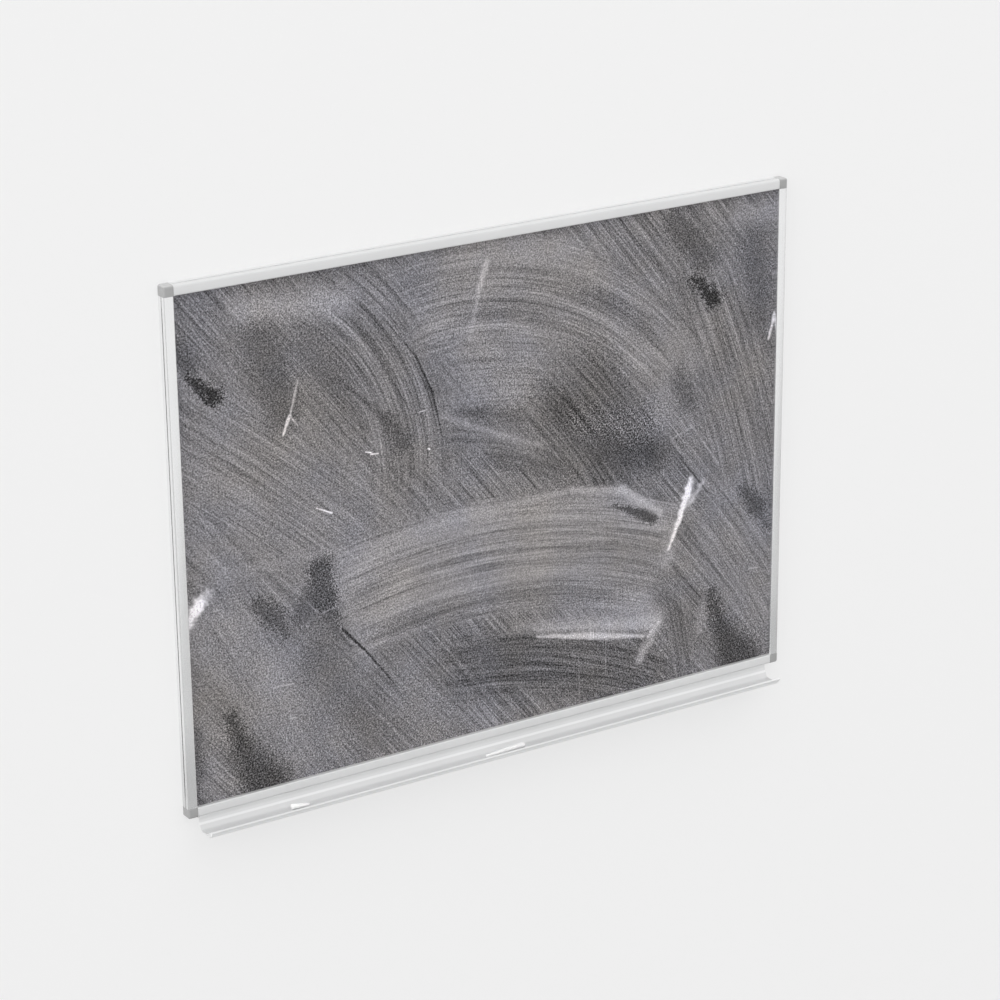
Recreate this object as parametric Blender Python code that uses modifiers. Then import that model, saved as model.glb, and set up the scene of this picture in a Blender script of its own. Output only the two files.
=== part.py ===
"""A wall-hung chalkboard with an aluminium frame, moulded corners, a chalk tray and two sticks of chalk.

A painted steel writing sheet lies on a fibre core in the frame's channel, and the tray hooks under the
bottom rail. Units are metres. +X runs to the right as the writer sees the board, +Y points at the wall and
+Z is up. The wall is the plane y = 0, the origin is the middle of the top rail's back face, and the frame's
front lies at y = -RAIL_DEPTH.
"""

import math

import bmesh
import bpy
from mathutils import Matrix, Vector

# The board as a whole
BOARD_WIDTH = 1.200
BOARD_HEIGHT = 0.900
GAP = 0.0003

# The frame's rail, an extrusion: a front chamber, a side slot, a channel for the panel and a back flange
RAIL_WIDTH = 0.0175
RAIL_DEPTH = 0.0200
RAIL_WALL = 0.0013
FACE_RECESS = 0.0080
OUTER_ROUND = 0.0040
INNER_ROUND = 0.0022
EDGE_ROUND = 0.0003
SLOT_DEPTH = 0.0044
SLOT_LIP = 0.0007
SLOT_MOUTH = 0.0026
BACK_FLANGE = 0.0140

# The panel: a painted steel sheet, a fibre core and a thin steel back sheet, with its corners clipped
SHEET_THICKNESS = 0.0005
BACK_SHEET_THICKNESS = 0.0003
PANEL_CLIP = 0.0142

# The corner connector, a moulding with a tenon and a slot leg for each of its two rails
TENON_LENGTH = 0.0250
LEG_LENGTH = 0.0265
RIDGE_LENGTH = 0.0190
RIDGE_RECESS = 0.0004
TENON_LEAD = 0.0008
CORING_DEPTH = 0.0028
CORING_WALL = 0.0016
CORING_WEB = 0.0014
FIXING_INSET = 0.0090
FIXING_RADIUS = 0.00225
COUNTERSINK_RADIUS = 0.0042
COUNTERSINK_DEPTH = 0.0022

# The corner cap, a shell with two pegs
CAP_WALL = 0.0014
PEG_RADIUS = 0.0011
PEG_TIP_RADIUS = 0.0009
PEG_LENGTH = 0.0050
PEG_NEAR = 0.0042
PEG_FAR = 0.0142

# The headless screw that locks a slot leg in its rail
LOCK_PLACE = 0.0390
LOCK_RADIUS = 0.00095
LOCK_LENGTH = 0.0034
LOCK_SOCKET_ACROSS = 0.0009
LOCK_SOCKET_DEPTH = 0.0012

# The chalk tray, an extrusion with a hooked flange, a seat that follows the rail's round, a trough and a
# solid nose
TRAY_LEFT_INSET = 0.018
TRAY_RIGHT_INSET = 0.030
TRAY_WALL = 0.0018
FLANGE_WALL = 0.0015
FLANGE_REACH = 0.0178
TRAY_PROUD = 0.0003
SEAT_EDGE = 0.0005
BACK_WALL_DROP = 0.0037
BACK_WALL_SLOPE = 0.472
TROUGH_DEPTH = 0.0200
TROUGH_FLOOR = 0.0174
TROUGH_TURN = 0.0065
LIP_TURN = 0.0250
TRAY_REACH = 0.0449
LIP_HEIGHT = 0.0114
NOSE_FORWARD = 0.0024
NOSE_DROP = 0.0017
NOSE_FRONT = 0.0049
NOSE_SLOPE = 0.55
NOSE_ROUND = 0.0012
HOOK_WALL = 0.0016
HOOK_THICKNESS = 0.0014
HOOK_REACH = 0.0038
HOOK_END_GAP = 0.0010

# The tray's screws, pan heads with a cross recess
TRAY_SCREW_COUNT = 4
TRAY_SCREW_MARGIN = 0.0420
TRAY_SCREW_DEPTH = 0.0050
SHANK_RADIUS = 0.0011
SHANK_LENGTH = 0.0062
SHANK_TIP = 0.0014
HEAD_RADIUS = 0.0020
HEAD_HEIGHT = 0.0014
RECESS_WIDTH = 0.0005
RECESS_REACH = 0.0012
RECESS_DEPTH = 0.0008

# The chalk: its radii, where its thick and thin ends lie along the board, and how far out from the frame
CHALK_RADIUS = 0.00475
CHALK_EDGE = 0.0008
CHALK_LONG_THIN_RADIUS = 0.0026
CHALK_LONG_X = (0.0357, -0.0431)
CHALK_LONG_OUT = (0.0230, 0.0262)
CHALK_SHORT_THIN_RADIUS = 0.0024
CHALK_SHORT_X = (-0.4210, -0.3880)
CHALK_SHORT_OUT = (0.0200, 0.0238)

# The solver for the rails and connectors, which the exact one leaves open at some sizes
CLOSED_SOLVER = "MANIFOLD"

# Fineness of round shapes
ROUND_SEGMENTS = 6
HOLE_SEGMENTS = 20
SCREW_SEGMENTS = 16
PEG_SEGMENTS = 12
CHALK_SEGMENTS = 28

# Places that follow from the sizes above
FRONT = -RAIL_DEPTH
SHEET_FRONT = FRONT + FACE_RECESS
CHANNEL_FRONT = SHEET_FRONT - GAP
CHANNEL_BACK = -RAIL_WALL
CHANNEL_EDGE = RAIL_WALL + SLOT_DEPTH + RAIL_WALL
MOUTH_FRONT = CHANNEL_FRONT + SLOT_LIP
MOUTH_BACK = MOUTH_FRONT + SLOT_MOUTH
PANEL_EDGE = CHANNEL_EDGE + GAP
CORE_THICKNESS = CHANNEL_BACK - SHEET_FRONT - SHEET_THICKNESS - BACK_SHEET_THICKNESS - 3 * GAP
BLOCK_INSET = CAP_WALL + GAP
CORNER_END = RAIL_WIDTH - GAP
TOP_EDGE = BACK_FLANGE / 2
BOTTOM_EDGE = TOP_EDGE - BOARD_HEIGHT
LEFT_EDGE = -BOARD_WIDTH / 2
RIGHT_EDGE = BOARD_WIDTH / 2
TRAY_TOP = BOTTOM_EDGE - GAP
TRAY_LEFT = LEFT_EDGE + TRAY_LEFT_INSET
TRAY_RIGHT = RIGHT_EDGE - TRAY_RIGHT_INSET
HOOK_LEFT = max(TRAY_LEFT, LEFT_EDGE + RAIL_WIDTH + LEG_LENGTH + HOOK_END_GAP)
HOOK_RIGHT = min(TRAY_RIGHT, RIGHT_EDGE - RAIL_WIDTH - LEG_LENGTH - HOOK_END_GAP)
TRAY_SCREW_Y = FRONT + TRAY_SCREW_DEPTH

# The turn about Y that brings a section drawn from its outer edge inwards along +X to each side of the frame
SIDE_TURNS = {
    "left": 0.0,
    "top": math.pi / 2,
    "right": math.pi,
    "bottom": -math.pi / 2,
}
# Each corner's place, and the turn that brings the bottom left corner there
CORNERS = {
    "bottom_left": (LEFT_EDGE, BOTTOM_EDGE, 0.0),
    "top_left": (LEFT_EDGE, TOP_EDGE, math.pi / 2),
    "top_right": (RIGHT_EDGE, TOP_EDGE, math.pi),
    "bottom_right": (RIGHT_EDGE, BOTTOM_EDGE, -math.pi / 2),
}


def clear_scene():
    for thing in list(bpy.data.objects):
        bpy.data.objects.remove(thing, do_unlink=True)
    for group in list(bpy.data.collections):
        bpy.data.collections.remove(group)


def new_collection(name):
    group = bpy.data.collections.new(name)
    bpy.context.scene.collection.children.link(group)
    return group


def new_material(name, colour, roughness, metallic):
    material = bpy.data.materials.new(name)
    material.use_nodes = True
    shader = material.node_tree.nodes["Principled BSDF"]
    shader.inputs["Base Color"].default_value = (*colour, 1.0)
    shader.inputs["Roughness"].default_value = roughness
    shader.inputs["Metallic"].default_value = metallic
    material.diffuse_color = (*colour, 1.0)
    return material


clear_scene()
PARTS = new_collection("chalkboard")
CUTTERS = new_collection("chalkboard_cutters")
SLATE_PAINT = new_material("slate_paint", (0.19, 0.185, 0.19), 0.85, 0.0)
FIBREBOARD = new_material("fibreboard", (0.42, 0.30, 0.19), 0.9, 0.0)
GALVANISED = new_material("galvanised_steel", (0.55, 0.56, 0.57), 0.5, 1.0)
ALUMINIUM = new_material("anodised_aluminium", (0.72, 0.72, 0.73), 0.38, 1.0)
GREY_PLASTIC = new_material("grey_plastic", (0.40, 0.40, 0.40), 0.45, 0.0)
ZINC_STEEL = new_material("zinc_plated_steel", (0.60, 0.60, 0.58), 0.35, 1.0)
CHALK_WHITE = new_material("white_chalk", (0.86, 0.86, 0.84), 0.95, 0.0)


# Outlines

def rounded(corners):
    """The closed outline through corners (x, y, radius), each corner rounded by an arc."""
    points = []
    count = len(corners)
    for i, (x, y, radius) in enumerate(corners):
        corner = Vector((x, y))
        to_last = (Vector(corners[i - 1][:2]) - corner).normalized()
        to_next = (Vector(corners[(i + 1) % count][:2]) - corner).normalized()
        opening = to_last.angle(to_next)
        turn = math.pi - opening
        if radius <= 0 or turn < 0.001:
            points.append(corner)
            continue
        centre = corner + (to_last + to_next).normalized() * (radius / math.sin(opening / 2))
        start = corner + to_last * (radius / math.tan(opening / 2)) - centre
        sense = -1.0 if to_last.cross(to_next) > 0 else 1.0
        steps = max(2, round(ROUND_SEGMENTS * turn / (math.pi / 2)))
        for k in range(steps + 1):
            swing = sense * turn * k / steps
            points.append(centre + Matrix.Rotation(swing, 2) @ start)
    return points


def rectangle(x0, y0, x1, y1, radius=0.0):
    return [(x0, y0, radius), (x1, y0, radius), (x1, y1, radius), (x0, y1, radius)]


def meeting(point_a, along_a, point_b, along_b):
    """Where two lines in a plane meet."""
    share = (point_b - point_a).cross(along_b) / along_a.cross(along_b)
    return point_a + along_a * share


def moved_aside(points, distance):
    """An open path's points, moved by a distance to the left of the way that it runs."""
    legs = [(b - a).normalized() for a, b in zip(points[:-1], points[1:])]
    lefts = [Vector((-leg.y, leg.x)) * distance for leg in legs]
    moved = [points[0] + lefts[0]]
    for i in range(1, len(legs)):
        moved.append(meeting(points[i] + lefts[i - 1], legs[i - 1], points[i] + lefts[i], legs[i]))
    moved.append(points[-1] + lefts[-1])
    return moved


# Making objects

def add_object(name, mesh, group, material=None):
    made = bpy.data.objects.new(name, mesh)
    group.objects.link(made)
    if material is not None:
        mesh.materials.clear()
        mesh.materials.append(material)
    if group is CUTTERS:
        made.hide_render = True
        made.display_type = "WIRE"
    return made


def prism(name, outline, length, group=PARTS, material=None):
    """An extrusion of a section in its own XY plane, centred on z = 0."""
    curve = bpy.data.curves.new(name, "CURVE")
    curve.dimensions = "2D"
    curve.fill_mode = "BOTH"
    curve.extrude = length / 2
    spline = curve.splines.new("POLY")
    spline.points.add(len(outline) - 1)
    for point, (x, y) in zip(spline.points, outline):
        point.co = (x, y, 0.0, 1.0)
    spline.use_cyclic_u = True
    drawn = bpy.data.objects.new(name + "_outline", curve)
    bpy.context.scene.collection.objects.link(drawn)
    bpy.context.view_layer.update()
    evaluated = drawn.evaluated_get(bpy.context.evaluated_depsgraph_get())
    mesh = bpy.data.meshes.new_from_object(evaluated)
    mesh.name = name
    bpy.data.objects.remove(drawn, do_unlink=True)
    bpy.data.curves.remove(curve)
    shape = bmesh.new()
    shape.from_mesh(mesh)
    bmesh.ops.remove_doubles(shape, verts=shape.verts, dist=0.000001)
    # each end becomes one face, because the fill leaves flat triangles between corners that lie in a line
    ends = [face for face in shape.faces if len({round(vertex.co.z, 6) for vertex in face.verts}) == 1]
    inside = [edge for edge in shape.edges if all(face in ends for face in edge.link_faces)]
    bmesh.ops.dissolve_edges(shape, edges=inside, use_verts=False)
    bmesh.ops.recalc_face_normals(shape, faces=shape.faces)
    shape.to_mesh(mesh)
    shape.free()
    return add_object(name, mesh, group, material)


def box(name, low, high, group=CUTTERS, material=None):
    mesh = bpy.data.meshes.new(name)
    shape = bmesh.new()
    middle = (Vector(low) + Vector(high)) / 2
    size = Vector(high) - Vector(low)
    placed = Matrix.Translation(middle) @ Matrix.Diagonal((*size, 1.0))
    bmesh.ops.create_cube(shape, size=1.0, matrix=placed)
    shape.to_mesh(mesh)
    shape.free()
    return add_object(name, mesh, group, material)


def cone(name, base, tip, radius, tip_radius, segments=HOLE_SEGMENTS, group=CUTTERS):
    """A cylinder or cone frustum from its base's centre to its tip's."""
    base = Vector(base)
    axis = Vector(tip) - base
    turned = axis.to_track_quat("Z", "Y").to_matrix().to_4x4()
    mesh = bpy.data.meshes.new(name)
    shape = bmesh.new()
    bmesh.ops.create_cone(
        shape,
        cap_ends=True,
        segments=segments,
        radius1=radius,
        radius2=tip_radius,
        depth=axis.length,
        matrix=Matrix.Translation(base + axis / 2) @ turned,
    )
    shape.to_mesh(mesh)
    shape.free()
    return add_object(name, mesh, group)


def turned_shape(name, profile, segments, material, group=PARTS):
    """A shape turned about its own Z axis from a profile of (radius, height) points, from top to bottom."""
    mesh = bpy.data.meshes.new(name)
    mesh.from_pydata([(r, 0.0, z) for r, z in profile], [(i, i + 1) for i in range(len(profile) - 1)], [])
    made = add_object(name, mesh, group, material)
    screw = made.modifiers.new("turn", "SCREW")
    screw.axis = "Z"
    screw.angle = math.tau
    screw.steps = segments
    screw.render_steps = segments
    screw.use_merge_vertices = True
    screw.merge_threshold = 0.00001
    screw.use_smooth_shade = True
    return made


def combine(target, other, operation, solver):
    boolean = target.modifiers.new(other.name, "BOOLEAN")
    boolean.operation = operation
    boolean.solver = solver
    boolean.object = other


def cut(target, *cutters, solver="EXACT"):
    for cutter in cutters:
        combine(target, cutter, "DIFFERENCE", solver)


def fuse(target, *pieces, solver="EXACT"):
    for piece in pieces:
        combine(target, piece, "UNION", solver)


def new_anchor(name, x, z, turn):
    """An empty in the frame's outer edge, turned about Y, that carries what is built around it."""
    anchor = bpy.data.objects.new(name, None)
    anchor.empty_display_size = 0.02
    anchor.location = (x, 0.0, z)
    anchor.rotation_euler = (0.0, turn, 0.0)
    bpy.context.scene.collection.objects.link(anchor)
    return anchor


def carry(anchor, *pieces):
    for piece in pieces:
        piece.parent = anchor


# Sections that the rail and what slides into it share

def chamber_section(clearance):
    """The rail's front chamber, or with a clearance the tenon that fills it."""
    low_x = RAIL_WALL + clearance
    high_x = RAIL_WIDTH - RAIL_WALL - clearance
    low_y = FRONT + RAIL_WALL + clearance
    high_y = CHANNEL_FRONT - RAIL_WALL - clearance
    outer = max(OUTER_ROUND - RAIL_WALL - clearance, EDGE_ROUND)
    inner = max(INNER_ROUND - RAIL_WALL - clearance, EDGE_ROUND)
    return rounded([
        (low_x, low_y, outer),
        (high_x, low_y, inner),
        (high_x, high_y, EDGE_ROUND),
        (low_x, high_y, EDGE_ROUND),
    ])


def slot_section(clearance):
    """The hollow behind the rail's side slot, or with a clearance the leg that fills it."""
    low_x = RAIL_WALL + clearance
    high_x = RAIL_WALL + SLOT_DEPTH - clearance
    return rectangle(low_x, CHANNEL_FRONT + clearance, high_x, CHANNEL_BACK - clearance)


def rail_section():
    """The rail's outer outline, from its outer edge at x = 0 inwards, with the wall side at y = 0."""
    slot = slot_section(0.0)
    slot_low_x, slot_front = slot[0][:2]
    slot_high_x, slot_back = slot[2][:2]
    return rounded([
        (0.0, FRONT, OUTER_ROUND),
        (RAIL_WIDTH, FRONT, INNER_ROUND),
        (RAIL_WIDTH, CHANNEL_FRONT, EDGE_ROUND),
        (CHANNEL_EDGE, CHANNEL_FRONT, 0.0),
        (CHANNEL_EDGE, CHANNEL_BACK, 0.0),
        (BACK_FLANGE, CHANNEL_BACK, EDGE_ROUND),
        (BACK_FLANGE, 0.0, EDGE_ROUND),
        (0.0, 0.0, EDGE_ROUND),
        (0.0, MOUTH_BACK, EDGE_ROUND),
        (slot_low_x, MOUTH_BACK, 0.0),
        (slot_low_x, slot_back, 0.0),
        (slot_high_x, slot_back, 0.0),
        (slot_high_x, slot_front, 0.0),
        (slot_low_x, slot_front, 0.0),
        (slot_low_x, MOUTH_FRONT, 0.0),
        (0.0, MOUTH_FRONT, EDGE_ROUND),
    ])


# The frame

def make_rail(side, length, x, z):
    rail = prism(f"{side}_rail", rail_section(), length, PARTS, ALUMINIUM)
    chamber = prism(f"{side}_rail_chamber", chamber_section(0.0), length + RAIL_WIDTH, CUTTERS)
    anchor = new_anchor(f"{side}_rail_place", x, z, SIDE_TURNS[side])
    carry(anchor, rail, chamber)
    cut(rail, chamber, solver=CLOSED_SOLVER)
    return rail


def make_rails():
    across = BOARD_WIDTH - 2 * RAIL_WIDTH
    upright = BOARD_HEIGHT - 2 * RAIL_WIDTH
    middle = (TOP_EDGE + BOTTOM_EDGE) / 2
    return {
        "top": make_rail("top", across, 0.0, TOP_EDGE),
        "bottom": make_rail("bottom", across, 0.0, BOTTOM_EDGE),
        "left": make_rail("left", upright, LEFT_EDGE, middle),
        "right": make_rail("right", upright, RIGHT_EDGE, middle),
    }


def corner_form(name, inset, back, group, material=None):
    """The frame's corner block, set in on its outer faces and rounded to match the rails."""
    low = (inset, FRONT + inset, inset)
    high = (CORNER_END, back, CORNER_END)
    made = box(name, low, high, group, material)
    shape = bmesh.new()
    shape.from_mesh(made.data)
    near = 0.000001

    def lies_outside(vertex, axis):
        return abs(vertex.co[axis] - low[axis]) < near

    edges = [
        edge
        for edge in shape.edges
        if sum(all(lies_outside(vertex, axis) for vertex in edge.verts) for axis in range(3)) == 2
    ]
    bmesh.ops.bevel(
        shape,
        geom=edges,
        offset=max(OUTER_ROUND - inset, EDGE_ROUND),
        segments=ROUND_SEGMENTS,
        profile=0.5,
        affect="EDGES",
    )
    shape.to_mesh(made.data)
    shape.free()
    return made


def leg_prism(name, section, start, end, turn, group=CUTTERS):
    """A prism along one leg of the bottom left corner, between two distances from the corner's outer edge."""
    made = prism(name, section, end - start, group)
    middle = (start + end) / 2
    upright = turn == SIDE_TURNS["left"]
    made.location = (0.0, 0.0, middle) if upright else (middle, 0.0, 0.0)
    made.rotation_euler = (0.0, turn, 0.0)
    return made


def leg_pieces(corner, way):
    """The tenon, slot leg and ridge of one leg, with the tenon's lead-in."""
    turn = SIDE_TURNS["left"] if way == "up" else SIDE_TURNS["bottom"]
    root = RAIL_WIDTH - CAP_WALL - GAP
    name = f"{corner}_{way}"
    low, high = slot_section(GAP)[0][:2], slot_section(GAP)[2][:2]
    ridge = rectangle(RIDGE_RECESS, MOUTH_FRONT + GAP, (low[0] + high[0]) / 2, MOUTH_BACK - GAP)
    tenon = leg_prism(f"{name}_tenon", chamber_section(GAP), root, RAIL_WIDTH + TENON_LENGTH, turn)
    bevel = tenon.modifiers.new("lead", "BEVEL")
    bevel.width = TENON_LEAD
    bevel.segments = 1
    bevel.limit_method = "ANGLE"
    bevel.angle_limit = math.radians(60)
    leg = leg_prism(f"{name}_leg", rounded(slot_section(GAP)), root, RAIL_WIDTH + LEG_LENGTH, turn)
    filler = leg_prism(f"{name}_ridge", rounded(ridge), RAIL_WIDTH, RAIL_WIDTH + RIDGE_LENGTH, turn)
    return tenon, leg, filler


def leg_point(way, outward, y, along):
    """A point at a distance in from the rail's outer edge, and a distance along the leg from the corner."""
    return (outward, y, along) if way == "up" else (along, y, outward)


def leg_cutters(corner, way):
    """The locking screw's hole through the slot leg, and the two pockets moulded into the tenon's back."""
    low, high = slot_section(GAP)[0][:2], slot_section(GAP)[2][:2]
    lock_y = (MOUTH_FRONT + MOUTH_BACK) / 2
    hole = cone(
        f"{corner}_{way}_lock_hole",
        leg_point(way, low[0] - GAP, lock_y, LOCK_PLACE),
        leg_point(way, high[0] + GAP, lock_y, LOCK_PLACE),
        LOCK_RADIUS + GAP,
        LOCK_RADIUS + GAP,
    )
    floor = CHANNEL_FRONT - RAIL_WALL - GAP
    near = RAIL_WALL + GAP + CORING_WALL
    far = RAIL_WIDTH - RAIL_WALL - GAP - CORING_WALL
    start = RAIL_WIDTH + CORING_WALL
    end = RAIL_WIDTH + TENON_LENGTH - TENON_LEAD - CORING_WALL
    length = (end - start - CORING_WEB) / 2
    pockets = []
    for i in range(2):
        pocket_start = start + i * (length + CORING_WEB)
        low_corner = leg_point(way, near, floor - CORING_DEPTH, pocket_start)
        high_corner = leg_point(way, far, floor + GAP, pocket_start + length)
        pockets.append(box(f"{corner}_{way}_pocket_{i + 1}", low_corner, high_corner))
    return [hole, *pockets]


def fixing_cutter(corner):
    """The countersunk hole for the wall screw, as one turned cutter."""
    face = FRONT + BLOCK_INSET
    profile = [
        (0.0, GAP),
        (COUNTERSINK_RADIUS, GAP),
        (COUNTERSINK_RADIUS, 0.0),
        (FIXING_RADIUS, -COUNTERSINK_DEPTH),
        (FIXING_RADIUS, face - GAP),
        (0.0, face - GAP),
    ]
    cutter = turned_shape(f"{corner}_fixing_hole", profile, HOLE_SEGMENTS, None, CUTTERS)
    cutter.location = (FIXING_INSET, face, FIXING_INSET)
    cutter.rotation_euler = (math.pi / 2, 0.0, 0.0)
    return cutter


def peg_places():
    return ((PEG_NEAR, PEG_FAR), (PEG_FAR, PEG_NEAR))


def panel_corner_cutter(corner):
    """The room that the panel's clipped corner takes behind the frame's face."""
    edge = CHANNEL_EDGE
    far = 2 * CHANNEL_EDGE + PANEL_CLIP + RAIL_WIDTH
    clipped = CHANNEL_EDGE + PANEL_CLIP
    outline = [(edge, clipped), (clipped, edge), (far, edge), (far, far), (edge, far)]
    depth = -CHANNEL_FRONT + RAIL_WALL
    cutter = prism(f"{corner}_panel_room", outline, depth, CUTTERS)
    cutter.rotation_euler = (math.pi / 2, 0.0, 0.0)
    cutter.location = (0.0, CHANNEL_FRONT + depth / 2, 0.0)
    return cutter


def make_connector(corner, anchor):
    connector = corner_form(f"{corner}_connector", BLOCK_INSET, 0.0, PARTS, GREY_PLASTIC)
    carry(anchor, connector)
    room = panel_corner_cutter(corner)
    carry(anchor, room)
    cut(connector, room, solver=CLOSED_SOLVER)
    for way in ("up", "along"):
        pieces = leg_pieces(corner, way)
        carry(anchor, *pieces)
        fuse(connector, *pieces, solver=CLOSED_SOLVER)
    cutters = [fixing_cutter(corner), *leg_cutters(corner, "up"), *leg_cutters(corner, "along")]
    face = FRONT + BLOCK_INSET
    for i, (x, z) in enumerate(peg_places()):
        bottom = FRONT + CAP_WALL + PEG_LENGTH + GAP
        name = f"{corner}_peg_hole_{i + 1}"
        hole_radius = PEG_RADIUS + GAP
        cutters.append(cone(name, (x, face - GAP, z), (x, bottom, z), hole_radius, hole_radius, PEG_SEGMENTS))
    carry(anchor, *cutters)
    cut(connector, *cutters, solver=CLOSED_SOLVER)


def make_cap(corner, anchor):
    cap = corner_form(f"{corner}_cap", 0.0, -GAP, PARTS, GREY_PLASTIC)
    hollow = corner_form(f"{corner}_cap_hollow", CAP_WALL, 0.0, CUTTERS)
    for vertex in hollow.data.vertices:
        for axis in (0, 2):
            if vertex.co[axis] > CORNER_END - GAP:
                vertex.co[axis] = CORNER_END + CAP_WALL
    carry(anchor, cap, hollow)
    cut(cap, hollow)
    for i, (x, z) in enumerate(peg_places()):
        root = (x, FRONT + CAP_WALL / 2, z)
        tip = (x, FRONT + CAP_WALL + PEG_LENGTH, z)
        peg = cone(f"{corner}_peg_{i + 1}", root, tip, PEG_RADIUS, PEG_TIP_RADIUS, PEG_SEGMENTS)
        carry(anchor, peg)
        fuse(cap, peg)


def make_locking_screw(name, anchor, way):
    """A headless screw with a hexagon socket, in one leg of a corner."""
    tip_x = RAIL_WALL + SLOT_DEPTH - GAP
    top_x = tip_x - LOCK_LENGTH
    lead = LOCK_RADIUS * 0.3
    profile = [
        (0.0, 0.0),
        (LOCK_RADIUS - lead / 2, 0.0),
        (LOCK_RADIUS, -lead / 2),
        (LOCK_RADIUS, lead - LOCK_LENGTH),
        (LOCK_RADIUS - lead, -LOCK_LENGTH),
        (0.0, -LOCK_LENGTH),
    ]
    screw = turned_shape(name, profile, SCREW_SEGMENTS, ZINC_STEEL)
    socket_radius = LOCK_SOCKET_ACROSS / math.sqrt(3)
    socket = cone(f"{name}_socket", (0, 0, -LOCK_SOCKET_DEPTH), (0, 0, GAP), socket_radius, socket_radius, 6)
    socket.parent = screw
    cut(screw, socket)
    carry(anchor, screw)
    lock_y = (MOUTH_FRONT + MOUTH_BACK) / 2
    screw.location = leg_point(way, top_x, lock_y, LOCK_PLACE)
    outward = Vector(leg_point(way, -1.0, 0.0, 0.0))
    screw.rotation_euler = outward.to_track_quat("Z", "Y").to_euler()


def make_corners():
    anchors = {}
    for corner, (x, z, turn) in CORNERS.items():
        anchors[corner] = new_anchor(f"{corner}_corner", x, z, turn)
        make_connector(corner, anchors[corner])
        make_cap(corner, anchors[corner])
    return anchors


# The panel

def panel_layer(name, front, thickness, material):
    left = LEFT_EDGE + PANEL_EDGE
    right = RIGHT_EDGE - PANEL_EDGE
    low = BOTTOM_EDGE + PANEL_EDGE
    high = TOP_EDGE - PANEL_EDGE
    clip = PANEL_CLIP + GAP * (math.sqrt(2) - 2)
    outline = [
        (left + clip, low),
        (right - clip, low),
        (right, low + clip),
        (right, high - clip),
        (right - clip, high),
        (left + clip, high),
        (left, high - clip),
        (left, low + clip),
    ]
    layer = prism(name, outline, thickness, PARTS, material)
    layer.rotation_euler = (math.pi / 2, 0.0, 0.0)
    layer.location = (0.0, front + thickness / 2, 0.0)
    return layer


def make_panel():
    core_front = SHEET_FRONT + SHEET_THICKNESS + GAP
    back_front = core_front + CORE_THICKNESS + GAP
    panel_layer("writing_sheet", SHEET_FRONT, SHEET_THICKNESS, SLATE_PAINT)
    panel_layer("core_board", core_front, CORE_THICKNESS, FIBREBOARD)
    panel_layer("back_sheet", back_front, BACK_SHEET_THICKNESS, GALVANISED)


# The chalk tray, drawn in a plane whose x is the world's y and whose y is the world's z

def trough_path():
    """The line that chalk lies on: down the back wall, along the floor and up to the lip."""
    front = FRONT - TRAY_PROUD
    top = Vector((front, TRAY_TOP))
    bend = Vector((front - TRAY_PROUD, TRAY_TOP - BACK_WALL_DROP))
    drop = TROUGH_DEPTH - BACK_WALL_DROP
    foot = Vector((bend.x - BACK_WALL_SLOPE * drop, TRAY_TOP - TROUGH_DEPTH))
    rise = Vector((foot.x - TROUGH_FLOOR, foot.y))
    lip = Vector((FRONT - TRAY_REACH, foot.y + LIP_HEIGHT))
    return top, bend, foot, rise, lip


def nose_path():
    """The lip's front, from its crown down to the tray's underside."""
    lip = trough_path()[-1]
    crown = lip + Vector((-NOSE_FORWARD, -NOSE_DROP))
    chin = crown + Vector((NOSE_FRONT * NOSE_SLOPE, -NOSE_FRONT))
    base = TRAY_TOP - TROUGH_DEPTH - TRAY_WALL
    heel = Vector((chin.x + (chin.y - base), base))
    return crown, chin, heel


def seat_arc():
    """The tray's seat around the rail's rounded lower edge, from below it to the thin edge in front."""
    centre = Vector((FRONT + OUTER_ROUND, BOTTOM_EDGE + OUTER_ROUND))
    radius = OUTER_ROUND + GAP
    swing = math.asin((OUTER_ROUND + TRAY_PROUD - SEAT_EDGE) / radius)
    turns = [swing * k / ROUND_SEGMENTS for k in range(ROUND_SEGMENTS + 1)]
    return [centre + Matrix.Rotation(-turn, 2) @ Vector((0.0, -radius)) for turn in turns]


def tray_section():
    top, bend, foot, rise, lip = trough_path()
    seat = seat_arc()
    crown, chin, heel = nose_path()
    outer_top, outer_bend, outer_foot, _ = moved_aside([top, bend, foot, rise], TRAY_WALL)
    under = TRAY_TOP - FLANGE_WALL
    outer_start = meeting(outer_top, outer_bend - outer_top, Vector((0.0, under)), Vector((1.0, 0.0)))
    flange_back = FRONT + FLANGE_REACH
    rib_front = (MOUTH_FRONT + MOUTH_BACK - HOOK_WALL) / 2
    rib_back = rib_front + HOOK_WALL
    foot_low = BOTTOM_EDGE + RAIL_WALL + GAP
    foot_high = foot_low + HOOK_THICKNESS
    fine = EDGE_ROUND
    return rounded([
        (top.x, seat[-1].y, fine / 2),
        (*bend, TROUGH_DEPTH / 2),
        (*foot, TROUGH_TURN),
        (*rise, LIP_TURN),
        (*lip, NOSE_ROUND / 2),
        (*crown, NOSE_ROUND),
        (*chin, TROUGH_TURN),
        (*heel, NOSE_ROUND * 2),
        (*outer_foot, TROUGH_TURN + TRAY_WALL),
        (*outer_bend, TROUGH_DEPTH / 2 - TRAY_WALL),
        (*outer_start, fine * 3),
        (flange_back, under, fine),
        (flange_back, TRAY_TOP, fine),
        (rib_back, TRAY_TOP, fine),
        (rib_back, foot_low, 0.0),
        (rib_back + HOOK_REACH, foot_low, fine),
        (rib_back + HOOK_REACH, foot_high, fine),
        (rib_front, foot_high, fine),
        (rib_front, TRAY_TOP, fine),
        *((*point, 0.0) for point in seat),
    ])


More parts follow.
